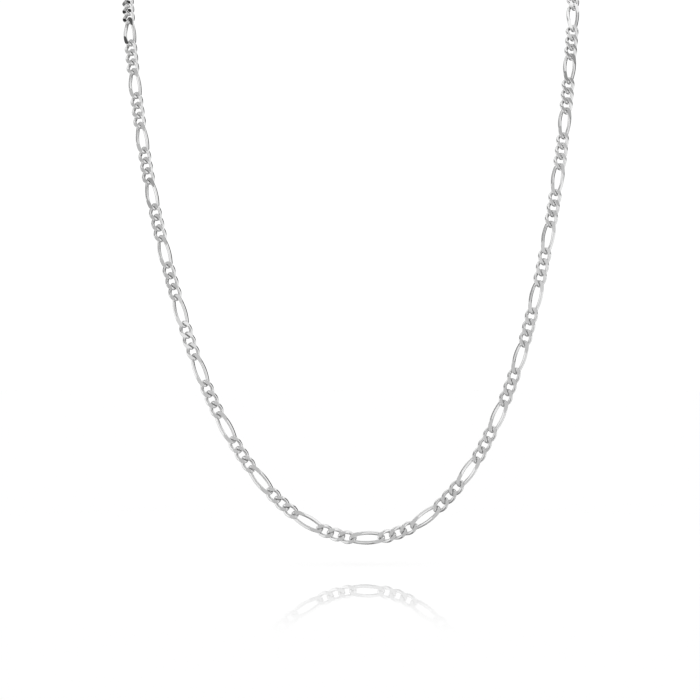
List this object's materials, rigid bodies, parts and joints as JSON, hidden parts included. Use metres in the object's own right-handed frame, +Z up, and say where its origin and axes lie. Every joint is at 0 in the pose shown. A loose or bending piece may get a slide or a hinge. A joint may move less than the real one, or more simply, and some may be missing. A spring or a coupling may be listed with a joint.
{
  "type": "figaro chain necklace",
  "caption": "Figaro chain necklace: flat-ground curb links in a short and long pattern, closed at the nape by a plain clasp, kept in its hanging form.",
  "frame": {"origin": "middle of the neck opening: on the neck's axis, at the height where the sides of the loop bear on the neck; the necklace is held there", "axes": "+Z up along the neck, -Y the way the wearer faces, +X to the right seen from the front"},
  "size_m": [0.1107, 0.0826, 0.1703],
  "materials": {
    "chain": "polished sterling silver",
    "findings": "polished sterling silver"
  },
  "bodies": {
    "root": {"chain_left": "chain", "chain_right": "chain", "ring_left": "findings", "ring_right": "findings", "clasp": "findings"}
  },
  "joints": []
}
